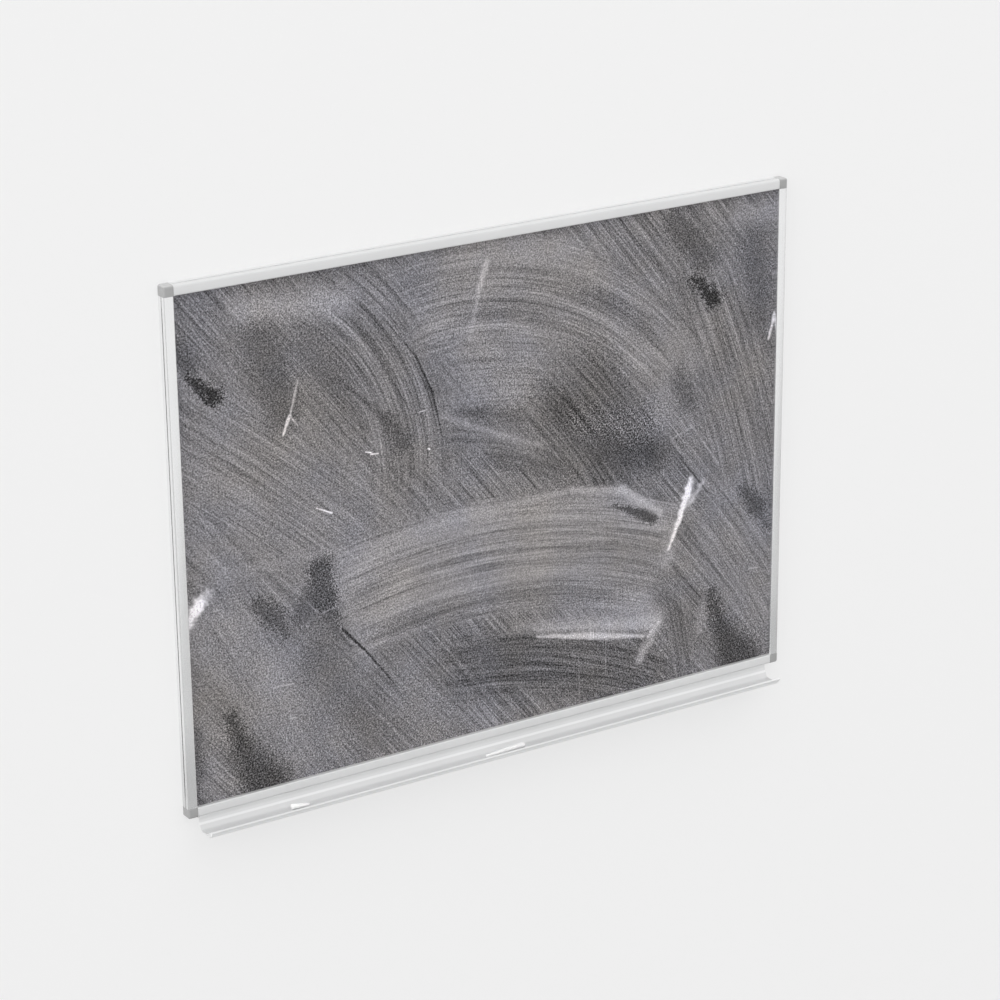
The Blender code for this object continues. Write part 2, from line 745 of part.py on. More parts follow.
def make_tray(rail):
    length = TRAY_RIGHT - TRAY_LEFT
    tray = prism("chalk_tray", tray_section(), length, PARTS, ALUMINIUM)
    # the section's x becomes the world's y and its y the world's z, and it runs along the world's x
    tray.rotation_euler = (math.pi / 2, 0.0, math.pi / 2)
    tray.location = ((TRAY_LEFT + TRAY_RIGHT) / 2, 0.0, 0.0)
    # the hook stops short of the corner connectors' slot legs
    for name, hook_end, outside in (("left", HOOK_LEFT, LEFT_EDGE), ("right", HOOK_RIGHT, RIGHT_EDGE)):
        near, far = sorted((hook_end, outside))
        low = (near, MOUTH_FRONT, TRAY_TOP)
        high = (far, 0.0, BOTTOM_EDGE + RAIL_WIDTH)
        cut(tray, box(f"hook_trim_{name}", low, high))
    first = HOOK_LEFT + TRAY_SCREW_MARGIN
    last = HOOK_RIGHT - TRAY_SCREW_MARGIN
    for i in range(TRAY_SCREW_COUNT):
        x = first + (last - first) * i / (TRAY_SCREW_COUNT - 1)
        hole = cone(
            f"tray_screw_hole_{i + 1}",
            (x, TRAY_SCREW_Y, TRAY_TOP - FLANGE_WALL - GAP),
            (x, TRAY_SCREW_Y, BOTTOM_EDGE + RAIL_WALL + GAP),
            SHANK_RADIUS + GAP,
            SHANK_RADIUS + GAP,
        )
        cut(tray, hole)
        cut(rail, hole, solver=CLOSED_SOLVER)
        make_tray_screw(f"tray_screw_{i + 1}", x)


def make_tray_screw(name, x):
    """A pan-head screw, point up, its head under the tray's flange."""
    crown = HEAD_HEIGHT
    shoulder = HEAD_RADIUS * 0.55
    profile = [
        (0.0, SHANK_LENGTH),
        (SHANK_RADIUS * 0.25, SHANK_LENGTH - SHANK_RADIUS * 0.2),
        (SHANK_RADIUS, SHANK_LENGTH - SHANK_TIP),
        (SHANK_RADIUS, 0.0),
        (HEAD_RADIUS, 0.0),
        (HEAD_RADIUS, -crown * 0.45),
        (HEAD_RADIUS * 0.85, -crown * 0.82),
        (shoulder, -crown),
        (0.0, -crown),
    ]
    screw = turned_shape(name, profile, SCREW_SEGMENTS, ZINC_STEEL)
    screw.location = (x, TRAY_SCREW_Y, TRAY_TOP - FLANGE_WALL - GAP)
    arms = ((RECESS_REACH, RECESS_WIDTH / 2), (RECESS_WIDTH / 2, RECESS_REACH))
    for i, (reach_x, reach_y) in enumerate(arms):
        arm = box(
            f"{name}_recess_{i + 1}",
            (-reach_x, -reach_y, -crown - GAP),
            (reach_x, reach_y, -crown + RECESS_DEPTH),
        )
        arm.parent = screw
        cut(screw, arm)


# The chalk

def resting_height(y, radius):
    """How high the middle of a round bar along x lies at a place across the trough, a gap above its seat."""
    reach = radius + GAP
    height = -math.inf
    section = rounded([(*point, turn) for point, turn in zip(
        trough_path(), (EDGE_ROUND, TROUGH_DEPTH / 2, TROUGH_TURN, LIP_TURN, 0.0))])
    steps = 8
    for a, b in zip(section[:-1], section[1:]):
        for k in range(steps + 1):
            point = a.lerp(b, k / steps)
            aside = abs(point.x - y)
            if aside < reach:
                height = max(height, point.y + math.sqrt(reach * reach - aside * aside))
    return height


def make_chalk(name, thin_radius, ends_x, ends_out):
    """A tapered stick that lies in the trough, from its thick end to its worn thin end."""
    radii = (CHALK_RADIUS, thin_radius)
    thick, thin = (
        Vector((x, FRONT - out, resting_height(FRONT - out, radius)))
        for x, out, radius in zip(ends_x, ends_out, radii)
    )
    length = (thin - thick).length
    worn = thin_radius * 0.6
    profile = [(0.0, length)]
    for k in range(1, 4):
        swing = math.pi / 2 * k / 4
        profile.append((thin_radius - worn + worn * math.sin(swing), length - worn + worn * math.cos(swing)))
    profile += [
        (thin_radius, length - worn),
        (CHALK_RADIUS, CHALK_EDGE),
        (CHALK_RADIUS - CHALK_EDGE * 0.3, CHALK_EDGE * 0.3),
        (CHALK_RADIUS - CHALK_EDGE, 0.0),
        (0.0, 0.0),
    ]
    chalk = turned_shape(name, profile, CHALK_SEGMENTS, CHALK_WHITE)
    chalk.location = thick
    chalk.rotation_euler = (thin - thick).to_track_quat("Z", "Y").to_euler()


def main():
    rails = make_rails()
    anchors = make_corners()
    make_locking_screw("left_rail_lock_screw", anchors["bottom_left"], "up")
    make_locking_screw("right_rail_lock_screw", anchors["bottom_right"], "along")
    make_locking_screw("top_rail_lock_screw", anchors["top_right"], "along")
    make_locking_screw("bottom_rail_lock_screw", anchors["bottom_right"], "up")
    make_panel()
    make_tray(rails["bottom"])
    make_chalk("chalk_long", CHALK_LONG_THIN_RADIUS, CHALK_LONG_X, CHALK_LONG_OUT)
    make_chalk("chalk_short", CHALK_SHORT_THIN_RADIUS, CHALK_SHORT_X, CHALK_SHORT_OUT)
    bpy.context.view_layer.update()


main()
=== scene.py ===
"""The looks of a wall-hung chalkboard: its finishes, the wall behind it, the light and the camera.

Lengths are in metres in the board's own frame. The wiped chalk on the writing sheet is drawn in millimetres:
X from the board's middle, Z up from the frame's bottom edge.
"""

import math

import bpy
from mathutils import Matrix, Vector


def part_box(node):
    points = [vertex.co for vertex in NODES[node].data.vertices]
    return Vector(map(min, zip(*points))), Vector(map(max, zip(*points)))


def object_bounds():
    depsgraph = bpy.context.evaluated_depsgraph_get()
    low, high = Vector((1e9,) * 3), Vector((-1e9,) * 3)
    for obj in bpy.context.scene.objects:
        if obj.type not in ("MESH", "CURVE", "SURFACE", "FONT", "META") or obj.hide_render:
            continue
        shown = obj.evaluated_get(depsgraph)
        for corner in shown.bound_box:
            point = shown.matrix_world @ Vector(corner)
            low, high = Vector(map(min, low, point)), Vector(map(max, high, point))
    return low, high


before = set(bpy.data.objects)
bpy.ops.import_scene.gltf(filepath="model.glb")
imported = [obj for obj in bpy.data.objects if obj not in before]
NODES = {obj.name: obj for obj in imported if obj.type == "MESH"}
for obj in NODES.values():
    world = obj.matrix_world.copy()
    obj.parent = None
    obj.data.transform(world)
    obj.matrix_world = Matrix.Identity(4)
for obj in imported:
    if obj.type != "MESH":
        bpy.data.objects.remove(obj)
CAD_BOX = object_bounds()

MM = 0.001
BOTTOM_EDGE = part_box("bottom_left_cap")[0].z

# The photograph's camera: its place and its three directions, with the focal length and the view's centre in
# the picture's pixels
PICTURE_SIZE = 1000.0
SENSOR_WIDTH = 36.0
CAMERA_PLACE = Vector((-2.6744, -4.2420, 1.3287))
CAMERA_RIGHT = Vector((0.84622, -0.53267, -0.01304))
CAMERA_DOWN = Vector((-0.19357, -0.28453, -0.93892))
CAMERA_FORWARD = Vector((0.49643, 0.79706, -0.34388))
FOCAL_PIXELS = 3168.0
VIEW_CENTRE = (474.27, 523.52)
NEAREST_SEEN = 0.05
FARTHEST_SEEN = 100.0

# The world's light: its level, and its brighter levels below the horizon and overhead, each with where its
# change starts and ends. A direction's height runs from -1, straight down, to 1, straight up.
WORLD_LEVEL = 0.68
LOW_LEVEL = 1.16
LOW_START = -0.33
LOW_END = -0.08
OVERHEAD_LEVEL = 2.1
OVERHEAD_START = 0.4
OVERHEAD_END = 0.95

# The soft sun, and the way from the board to it
SUN_TO_LIGHT = Vector((-0.90, -0.14, 0.42))
SUN_STRENGTH = 1.55
SUN_ANGLE = math.radians(50)

# The plain background, and the wall with its share of it
BACKGROUND = 0.879
WALL_GLOW = 0.7
WALL_COLOUR = 0.93
WALL_HALF_WIDTH = 14.0
WALL_TOP = 10.0
# how far the opening in the wall stays inside the board's outline
HOLE_MARGIN = 4.0 * MM

# The floor: how far below the board it lies, and how far it reaches from the wall
FLOOR_COLOUR = 0.40
FLOOR_DROP = 2.2
FLOOR_REACH = 6.5

# The sockets of a mix node, for numbers and for colours
MIX_SHARE = 0
MIX_NUMBERS = (2, 3)
MIX_COLOURS = (6, 7)
MIX_NUMBER_RESULT = 0
MIX_COLOUR_RESULT = 2

# Nearly all of a noise's values lie between the low and the high one
NOISE_LOW = 0.3
NOISE_MIDDLE = 0.5
NOISE_HIGH = 0.7


class Graph:
    """Short calls that add shader nodes to one tree."""

    def __init__(self, tree):
        self.tree = tree

    def node(self, kind, **settings):
        made = self.tree.nodes.new(kind)
        for name, value in settings.items():
            setattr(made, name, value)
        return made

    def feed(self, socket, value):
        if isinstance(value, bpy.types.NodeSocket):
            self.tree.links.new(value, socket)
        elif value is not None:
            socket.default_value = value

    def math(self, operation, *values):
        made = self.node("ShaderNodeMath", operation=operation)
        for socket, value in zip(made.inputs, values):
            self.feed(socket, value)
        return made.outputs[0]

    def vector(self, x=0.0, y=0.0, z=0.0):
        made = self.node("ShaderNodeCombineXYZ")
        for socket, value in zip(made.inputs, (x, y, z)):
            self.feed(socket, value)
        return made.outputs[0]

    def parts(self, vector):
        made = self.node("ShaderNodeSeparateXYZ")
        self.feed(made.inputs[0], vector)
        return made.outputs

    def vector_math(self, operation, a, b=None):
        made = self.node("ShaderNodeVectorMath", operation=operation)
        self.feed(made.inputs[0], a)
        self.feed(made.inputs["Scale" if operation == "SCALE" else 1], b)
        return made.outputs["Value" if operation in ("DOT_PRODUCT", "LENGTH", "DISTANCE") else "Vector"]

    def noise(self, place, scale, detail=2.0, roughness=0.5, distortion=0.0, flat=False):
        made = self.node("ShaderNodeTexNoise", noise_dimensions="2D" if flat else "3D")
        self.feed(made.inputs["Vector"], place)
        self.feed(made.inputs["Scale"], scale)
        self.feed(made.inputs["Detail"], detail)
        self.feed(made.inputs["Roughness"], roughness)
        self.feed(made.inputs["Distortion"], distortion)
        return made.outputs[0]

    def swing(self, place, scale, **settings):
        """Noise that swings round nought."""
        return self.math("SUBTRACT", self.noise(place, scale, **settings), NOISE_MIDDLE)

    def cells(self, place, scale):
        made = self.node("ShaderNodeTexVoronoi")
        self.feed(made.inputs["Vector"], place)
        self.feed(made.inputs["Scale"], scale)
        return made.outputs["Color"]

    def remap(self, value, low, high, to_low=0.0, to_high=1.0, smooth=False):
        made = self.node("ShaderNodeMapRange", interpolation_type="SMOOTHSTEP" if smooth else "LINEAR")
        for socket, entry in zip(made.inputs, (value, low, high, to_low, to_high)):
            self.feed(socket, entry)
        return made.outputs[0]

    def spread(self, noise, to_low=0.0, to_high=1.0):
        """Noise that is stretched to run from one value to the other."""
        return self.remap(noise, NOISE_LOW, NOISE_HIGH, to_low, to_high)

    def blend(self, share, a, b):
        made = self.node("ShaderNodeMix", data_type="FLOAT")
        for socket, value in zip((MIX_SHARE, *MIX_NUMBERS), (share, a, b)):
            self.feed(made.inputs[socket], value)
        return made.outputs[MIX_NUMBER_RESULT]

    def blend_colour(self, share, a, b):
        made = self.node("ShaderNodeMix", data_type="RGBA")
        for socket, value in zip((MIX_SHARE, *MIX_COLOURS), (share, a, b)):
            self.feed(made.inputs[socket], value)
        return made.outputs[MIX_COLOUR_RESULT]

    def colour(self, red, green, blue):
        made = self.node("ShaderNodeCombineColor")
        for socket, value in zip(made.inputs, (red, green, blue)):
            self.feed(socket, value)
        return made.outputs[0]

    def bump(self, height, strength, distance):
        made = self.node("ShaderNodeBump")
        self.feed(made.inputs["Height"], height)
        self.feed(made.inputs["Strength"], strength)
        self.feed(made.inputs["Distance"], distance)
        return made.outputs[0]


def grey(level):
    return (level, level, level, 1.0)


def new_material(name, **settings):
    """A material, its graph, its shader with the given uniform settings, and the place on the object."""
    material = bpy.data.materials.new(name)
    material.use_nodes = True
    graph = Graph(material.node_tree)
    shader = material.node_tree.nodes["Principled BSDF"]
    for socket, value in settings.items():
        shader.inputs[socket.replace("_", " ")].default_value = value
    place = graph.node("ShaderNodeTexCoord").outputs["Object"]
    return material, graph, shader, place


# The writing sheet

# The chalk film's tones run from 0 to 255, and these turn them into the paint's colour
WHITE_TONE = 255.0
DARKEST_TONE = 30.0
TONE_LIGHT = 0.93
TONE_GAMMA = 2.2
FILM_MEAN = 125.0
FILM_CONTRAST = 1.2
BARE_TONE = 118.0

# The streaks of a pass: their depth for its contrast, their scale across it, how slowly they change along it,
# and the step in the noise from one pass to the next
WIPE_FINE = 2.3
WIPE_BROAD = 1.9
FINE_SCALE = 0.5
BROAD_SCALE = 0.14
ALONG_SCALE = 0.012
PASS_STEP = 17.3

# The ragged edges, per mm
RAGGED_SCALE = 0.085
RAGGED_SWING = 3.0

# The dust's grain, mottle and clouds: their scale per mm, and their strength in tones
GRAIN_SCALE = 0.34
GRAIN = 166.0
MOTTLE_SCALE = 0.11
MOTTLE = 46.0
CLOUD_SCALE = 0.012
CLOUDS = 24.0

# The film wanders between a brownish and a bluish grey: the scale per mm, and each colour's share of the tone
# with how far it wanders
TINT_SCALE = 0.0042
RED_SHARE = 1.005
RED_WANDERS = -0.10
GREEN_SHARE = 0.972
BLUE_SHARE = 1.015
BLUE_WANDERS = 0.24

# The layers that are drawn before the place on the sheet is worked out again
LAYERS_AT_ONCE = 8

# Each pass of the eraser or cloth: where its middle line starts and ends, how far it bulges to its left, half
# its width, how soft its sides and its ends are, its tone, its streaks' contrast, its cover and the streaks'
# fineness
WIPES = [
    # the whole board, wiped downwards to the right
    ((-600, 960), (480, -380), 0.5, 900, 10, 10, 119, 36, 1.0, 0.9),
    ((-590, 660), (-220, 350), 10, 110, 60, 80, 127, 32, 0.85, 0.95),
    ((-570, 400), (-370, 20), 12, 90, 50, 70, 127, 20, 0.9, 0.95),
    ((400, 790), (560, 330), 14, 90, 50, 70, 118, 36, 0.85, 0.8),
    ((440, 340), (620, 60), 10, 70, 40, 60, 130, 32, 0.8, 0.85),
    # the top left fan
    ((-330, 850), (-150, 500), 53, 85, 26, 60, 117, 36, 0.9, 0.5),
    # the top right arcs
    ((-150, 787), (350, 595), 74, 92, 26, 50, 129, 34, 0.95, 0.5),
    ((-101, 864), (199, 805), 20, 30, 22, 60, 140, 24, 0.75, 0.5),
    ((162, 773), (339, 647), 11, 15, 16, 50, 104, 26, 0.8, 0.5),
    ((-77, 759), (121, 724), 11, 8, 9, 40, 106, 18, 0.8, 0.45),
    # the middle
    ((-80, 662), (120, 632), 7, 72, 40, 60, 136, 24, 0.75, 0.5),
    ((130, 620), (290, 400), 8, 85, 46, 60, 96, 34, 0.85, 0.5),
    ((-10, 512), (130, 455), 5, 17, 12, 30, 92, 28, 0.85, 0.5),
    ((-110, 560), (110, 480), 16, 22, 18, 50, 118, 26, 0.7, 0.45),
    # the broad band below the middle
    ((-300, 302), (355, 245), 53, 104, 10, 26, 134, 31, 0.95, 0.6),
    ((-290, 376), (150, 380), 22, 17, 12, 60, 143, 24, 0.75, 0.6),
    ((-260, 270), (200, 256), 27, 12, 10, 60, 144, 24, 0.7, 0.6),
    ((-220, 242), (250, 204), 29, 15, 12, 60, 113, 28, 0.75, 0.6),
    ((150, 300), (350, 240), 14, 30, 20, 40, 122, 34, 0.7, 0.5),
    # the bottom middle
    ((-70, 140), (330, 25), 20, 56, 26, 95, 96, 40, 0.9, 0.5),
    ((-200, 130), (-90, 10), 0.5, 50, 36, 50, 124, 16, 0.85, 0.9),
    ((370, 170), (400, 10), 0.5, 30, 24, 40, 108, 28, 0.8, 0.5),
]

# Patches and strokes: start and end, the radius at each, softness, tone, cover and the edge's raggedness
MARKS = [
    # haze and pale areas
    ((-470, 838), (-280, 826), 20, 22, 20, 148, 0.85, 14),
    ((-600, 520), (-520, 400), 16, 20, 24, 132, 0.6, 14),
    ((-500, 330), (-400, 150), 22, 34, 36, 140, 0.7, 18),
    ((-560, 330), (-556, 60), 10, 14, 26, 132, 0.6, 14),
    ((-290, 330), (-250, 190), 16, 10, 16, 138, 0.7, 12),
    ((352, 600), (340, 470), 12, 16, 18, 134, 0.75, 12),
    ((352, 667), (412, 602), 14, 20, 26, 130, 0.7, 12),
    ((440, 150), (428, 100), 8, 8, 12, 146, 0.8, 10),
    ((366, 300), (356, 250), 10, 14, 12, 150, 0.75, 8),
    ((500, 850), (583, 842), 18, 22, 20, 142, 0.75, 14),
    ((0, 860), (140, 840), 16, 14, 20, 142, 0.6, 8),
    # dark patches
    ((-430, 775), (-395, 655), 34, 30, 20, 101, 0.9, 28),
    ((-355, 760), (-305, 700), 24, 18, 20, 106, 0.8, 23),
    ((-582, 795), (-556, 765), 18, 14, 14, 92, 0.85, 18),
    ((-560, 744), (-518, 706), 5, 15, 8, 63, 0.95, 22),
    ((-205, 618), (-176, 566), 8, 18, 12, 92, 0.85, 15),
    ((-330, 220), (-250, 60), 26, 34, 30, 108, 0.8, 26),
    ((-338, 378), (-336, 322), 22, 25, 8, 85, 0.92, 22),
    ((-336, 322), (-306, 256), 27, 6, 8, 89, 0.9, 22),
    ((-352, 352), (-372, 306), 10, 22, 12, 94, 0.7, 22),
    ((-350, 300), (-346, 220), 14, 24, 20, 106, 0.75, 20),
    ((-330, 260), (-360, 200), 30, 30, 26, 112, 0.7, 18),
    ((-450, 340), (-424, 314), 13, 18, 8, 91, 0.88, 22),
    ((-424, 314), (-406, 278), 17, 5, 8, 95, 0.86, 22),
    ((-512, 158), (-492, 108), 11, 13, 8, 83, 0.9, 22),
    ((-496, 100), (-450, 20), 16, 44, 24, 76, 0.92, 18),
    ((-578, 150), (-574, 70), 8, 12, 14, 96, 0.75, 13),
    ((-72, 598), (-20, 588), 2, 9, 6, 94, 0.86, 9),
    ((-20, 588), (50, 566), 9, 14, 14, 100, 0.75, 10),
    ((230, 474), (326, 452), 20, 26, 30, 84, 0.9, 18),
    ((370, 850), (440, 780), 24, 22, 18, 90, 0.85, 23),
    ((408, 748), (452, 708), 6, 16, 8, 59, 0.95, 22),
    ((380, 575), (398, 530), 16, 18, 16, 98, 0.8, 18),
    ((535, 790), (556, 665), 28, 24, 24, 98, 0.88, 20),
    ((526, 342), (552, 310), 14, 18, 8, 91, 0.88, 22),
    ((552, 310), (574, 268), 17, 5, 8, 95, 0.86, 22),
    ((453, 158), (474, 108), 11, 13, 8, 81, 0.9, 22),
    ((472, 100), (520, 20), 16, 44, 24, 78, 0.92, 18),
    ((244, 370), (324, 334), 1, 14, 5, 85, 0.92, 11),
    ((-100, 176), (10, 140), 8, 16, 16, 100, 0.65, 18),
    # lines left by the edge of the eraser
    ((-520, 404), (-300, 408), 8, 8, 14, 140, 0.7, 6),
    ((-300, 396), (-100, 412), 4, 5, 7, 150, 0.8, 3),
    ((-100, 412), (160, 416), 5, 5, 6, 152, 0.8, 3),
    ((160, 416), (262, 396), 5, 8, 6, 158, 0.88, 3),
    ((262, 396), (342, 338), 8, 7, 6, 164, 0.9, 3),
    ((150, 352), (262, 331), 1, 3, 4, 150, 0.7, 2),
    ((262, 331), (350, 305), 3, 3, 4, 158, 0.8, 2),
    ((-102, 598), (-52, 573), 2, 5, 5, 146, 0.75, 4),
    ((-52, 573), (95, 508), 6, 4, 6, 148, 0.75, 4),
    ((-200, 776), (-147, 707), 0.6, 1.6, 1.6, 74, 0.85, 1.5),
    ((-147, 707), (-117, 642), 1.6, 2.4, 1.6, 70, 0.9, 1.5),
    ((-117, 642), (-100, 562), 2.4, 0.8, 1.6, 74, 0.85, 1.5),
    ((-154, 706), (-124, 640), 0.8, 1.4, 1.4, 84, 0.8, 1.5),
    ((-124, 640), (-108, 574), 1.4, 0.6, 1.4, 86, 0.8, 1.5),
    ((-258, 779), (-202, 692), 0.8, 1.2, 1.6, 88, 0.8, 1.5),
    ((-202, 692), (-163, 622), 1.2, 1.0, 1.6, 86, 0.8, 1.5),
    ((-296, 697), (-242, 647), 1.5, 3.5, 3, 90, 0.8, 4),
    ((-242, 647), (-205, 606), 3.5, 6, 5, 92, 0.8, 5),
    ((-298, 264), (-252, 212), 2.6, 2.0, 1.6, 66, 0.95, 1.5),
    ((-252, 212), (-197, 137), 2.0, 0.8, 1.4, 72, 0.9, 1.5),
    ((-382, 647), (-282, 562), 0.8, 1.5, 2.5, 144, 0.7, 2),
    ((-282, 562), (-212, 447), 1.5, 0.8, 2.5, 142, 0.7, 2),
    ((-556, 836), (-508, 742), 1.0, 1.0, 2, 146, 0.65, 2),
    ((-524, 838), (-480, 760), 1.0, 1.0, 2, 142, 0.6, 2),
    ((-582, 760), (-480, 620), 1.2, 1.0, 2.5, 144, 0.6, 2),
    ((-560, 560), (-535, 470), 1.0, 1.5, 2, 140, 0.6, 2),
    ((-540, 450), (-508, 412), 1.4, 2.0, 2, 152, 0.7, 2),
    ((-48, 744), (70, 738), 1.4, 1.4, 3, 146, 0.7, 2),
    ((102, 560), (190, 440), 0.8, 1.0, 2, 140, 0.7, 2),
    ((442, 832), (500, 724), 1.0, 1.0, 2.5, 142, 0.65, 2),
    ((410, 820), (460, 745), 1.0, 1.0, 2.5, 140, 0.6, 2),
    # the white swoosh under the band, with its haze
    ((40, 192), (335, 146), 6, 18, 16, 146, 0.85, 4),
    ((80, 178), (328, 134), 3, 13, 9, 160, 0.85, 3),
    ((84, 164), (196, 140), 2, 7, 4, 184, 0.92, 2),
    ((196, 140), (308, 114), 7, 3.0, 3.5, 182, 0.92, 2),
    ((340, 134), (298, 70), 7, 9, 6, 158, 0.85, 9),
    ((340, 134), (318, 112), 4, 2, 4, 176, 0.85, 4),
    ((235, 160), (235, 138), 0.8, 0.8, 1, 180, 0.7, 1),
    # chalk strokes
    ((410, 384), (398, 356), 6, 10, 7, 176, 0.85, 10),
    ((406, 386), (400, 366), 4, 6, 4, 214, 0.95, 9),
    ((402, 370), (382, 314), 7, 5, 3.5, 226, 0.97, 7),
    ((382, 314), (360, 266), 5, 2, 3, 222, 0.97, 4),
    ((404, 342), (434, 376), 5, 3, 5, 184, 0.85, 9),
    ((-542, 384), (-562, 362), 6, 10, 7, 190, 0.85, 12),
    ((-560, 366), (-590, 322), 12, 6, 5, 226, 0.97, 10),
    ((-366, 330), (-340, 300), 0.8, 1.2, 1.2, 146, 0.8, 3),
    ((-340, 300), (-314, 306), 1.2, 0.8, 1.2, 146, 0.8, 3),
    ((-367, 706), (-384, 648), 1.5, 2.2, 1.6, 172, 0.9, 2),
    ((-384, 650), (-397, 620), 3.4, 1.6, 1.6, 206, 0.95, 2.5),
    ((-382, 648), (-370, 632), 1.6, 0.8, 1.4, 180, 0.9, 1.5),
    ((-8, 846), (-24, 800), 5, 4, 3, 172, 0.9, 6),
    ((-24, 800), (-44, 718), 5, 3, 4, 154, 0.8, 6),
    ((584, 660), (571, 614), 4, 1.5, 2, 205, 0.95, 3),
    ((-246, 563), (-236, 560), 1.2, 1.2, 0.8, 214, 0.95, 1),
    ((-236, 557), (-222, 556), 1.4, 1.0, 0.8, 212, 0.95, 1),
    ((-340, 485), (-312, 471), 1.0, 1.8, 0.9, 214, 0.95, 1.5),
    ((-143, 612), (-132, 613), 0.9, 0.9, 0.8, 196, 0.9, 1),
    ((-127, 546), (-124, 544), 1.4, 1.2, 0.8, 210, 0.95, 1),
    ((367, 470), (407, 483), 1.4, 1.4, 1.6, 156, 0.8, 2),
    ((407, 487), (434, 450), 1.4, 1.8, 1.8, 152, 0.8, 2),
    ((434, 450), (464, 406), 1.8, 2.2, 2, 158, 0.8, 2),
    ((362, 474), (384, 440), 1.6, 1.2, 2, 150, 0.75, 2),
    ((-430, 192), (-398, 190), 1.4, 1.0, 1.2, 170, 0.8, 2.5),
    ((-404, 130), (-390, 128), 1.4, 1.0, 1.2, 176, 0.8, 2),
    ((538, 192), (556, 190), 1.4, 1.0, 1.2, 172, 0.8, 2),
    ((-118, 372), (-115, 330), 0.8, 0.8, 1.4, 152, 0.7, 1.5),
    ((227, 122), (227, 60), 0.8, 0.8, 1.2, 148, 0.7, 2),
    ((170, 110), (172, 20), 0.8, 1.0, 1.2, 144, 0.7, 2),
]

# Where the dust's grain is stronger or weaker, listed like the marks, with the grain's strength as the tone
GRAINY = [
    ((170, 545), (300, 500), 24, 34, 30, 400, 0.9, 20),
    ((0, 670), (60, 620), 30, 30, 40, 220, 0.8, 20),
    ((-440, 835), (-300, 825), 24, 24, 30, 240, 0.8, 20),
    ((-330, 370), (-320, 300), 30, 26, 20, 250, 0.8, 10),
    ((-530, 330), (-340, 80), 50, 90, 50, 205, 0.8, 20),
    ((-520, 120), (-450, 40), 30, 50, 30, 240, 0.8, 20),
    ((455, 120), (530, 40), 30, 50, 30, 240, 0.8, 20),
    ((-160, 90), (-120, 40), 50, 50, 40, 230, 0.8, 20),
    ((330, 120), (300, 70), 16, 16, 14, 260, 0.8, 10),
    ((100, 110), (280, 60), 40, 40, 40, 220, 0.8, 20),
    ((-100, 330), (280, 300), 80, 70, 40, 80, 0.7, 10),
]

# What the groups that draw a pass and a mark are given
VECTORS = ("Place", "Centre", "Outward", "Forward", "Start", "Along")
WIPE_INPUTS = (
    "Tone", "Place", "Ragged", "Centre", "Outward", "Forward", "Radius", "Side Outer", "Side Inner",
    "End Outer", "End Inner", "Side Soft", "End Soft", "Cover", "Fineness", "Seed", "Low", "Fine Depth",
    "Broad Depth",
)
MARK_INPUTS = (
    "Tone", "Place", "Ragged", "Start", "Along", "Length", "Taper", "Outer", "Inner", "Film", "Cover", "Rag",
)


def group_graph(name, inputs):
    """A node group with one result, its graph, and its inputs by name. Those in VECTORS are vectors."""
    tree = bpy.data.node_groups.new(name, "ShaderNodeTree")
    for socket in inputs:
        kind = "NodeSocketVector" if socket in VECTORS else "NodeSocketFloat"
        tree.interface.new_socket(socket, in_out="INPUT", socket_type=kind)
    tree.interface.new_socket("Tone", in_out="OUTPUT", socket_type="NodeSocketFloat")
    graph = Graph(tree)
    entered = graph.node("NodeGroupInput").outputs
    return tree, graph, {socket: entered[socket] for socket in inputs}


def finish_group(graph, result):
    graph.feed(graph.node("NodeGroupOutput").inputs["Tone"], result)


def wipe_group():
    """One pass along an arc: streaks run round it, and its film lies over the tone before it."""
    tree, graph, inp = group_graph("chalk_wipe", WIPE_INPUTS)
    m = graph.math
    away = graph.vector_math("SUBTRACT", inp["Place"], inp["Centre"])
    ahead = graph.vector_math("DOT_PRODUCT", away, inp["Forward"])
    outward = graph.vector_math("DOT_PRODUCT", away, inp["Outward"])
    along = m("MULTIPLY", m("ARCTAN2", ahead, outward), inp["Radius"])
    across = m("SUBTRACT", graph.vector_math("LENGTH", away), inp["Radius"])
    side_edge = m("MULTIPLY_ADD", inp["Ragged"], inp["Side Soft"], m("ABSOLUTE", across))
    side = graph.remap(side_edge, inp["Side Outer"], inp["Side Inner"], 0.0, inp["Cover"], smooth=True)
    end_edge = m("MULTIPLY_ADD", inp["Ragged"], inp["End Soft"], m("ABSOLUTE", along))
    end = graph.remap(end_edge, inp["End Outer"], inp["End Inner"], smooth=True)
    streak_x = m("MULTIPLY_ADD", across, inp["Fineness"], inp["Seed"])
    streak_place = graph.vector(streak_x, m("MULTIPLY", along, ALONG_SCALE))
    fine = graph.noise(streak_place, FINE_SCALE, detail=1.0, roughness=0.85, flat=True)
    broad = graph.noise(streak_place, BROAD_SCALE, detail=2.0, roughness=0.6, flat=True)
    film = m("MULTIPLY_ADD", broad, inp["Broad Depth"], inp["Low"])
    film = m("MULTIPLY_ADD", fine, inp["Fine Depth"], film)
    finish_group(graph, graph.blend(m("MULTIPLY", side, end), inp["Tone"], film))
    return tree


def mark_group():
    """A tapered stroke between two round ends, with a soft and ragged edge."""
    tree, graph, inp = group_graph("chalk_mark", MARK_INPUTS)
    m = graph.math
    away = graph.vector_math("SUBTRACT", inp["Place"], inp["Start"])
    along = graph.vector_math("DOT_PRODUCT", away, inp["Along"])
    held = m("MINIMUM", m("MAXIMUM", along, 0.0), inp["Length"])
    nearest = graph.vector_math("SCALE", inp["Along"], held)
    reach = graph.vector_math("DISTANCE", away, nearest)
    edge = m("MULTIPLY_ADD", held, inp["Taper"], reach)
    edge = m("MULTIPLY_ADD", inp["Ragged"], inp["Rag"], edge)
    cover = graph.remap(edge, inp["Outer"], inp["Inner"], 0.0, inp["Cover"], smooth=True)
    finish_group(graph, graph.blend(cover, inp["Tone"], inp["Film"]))
    return tree


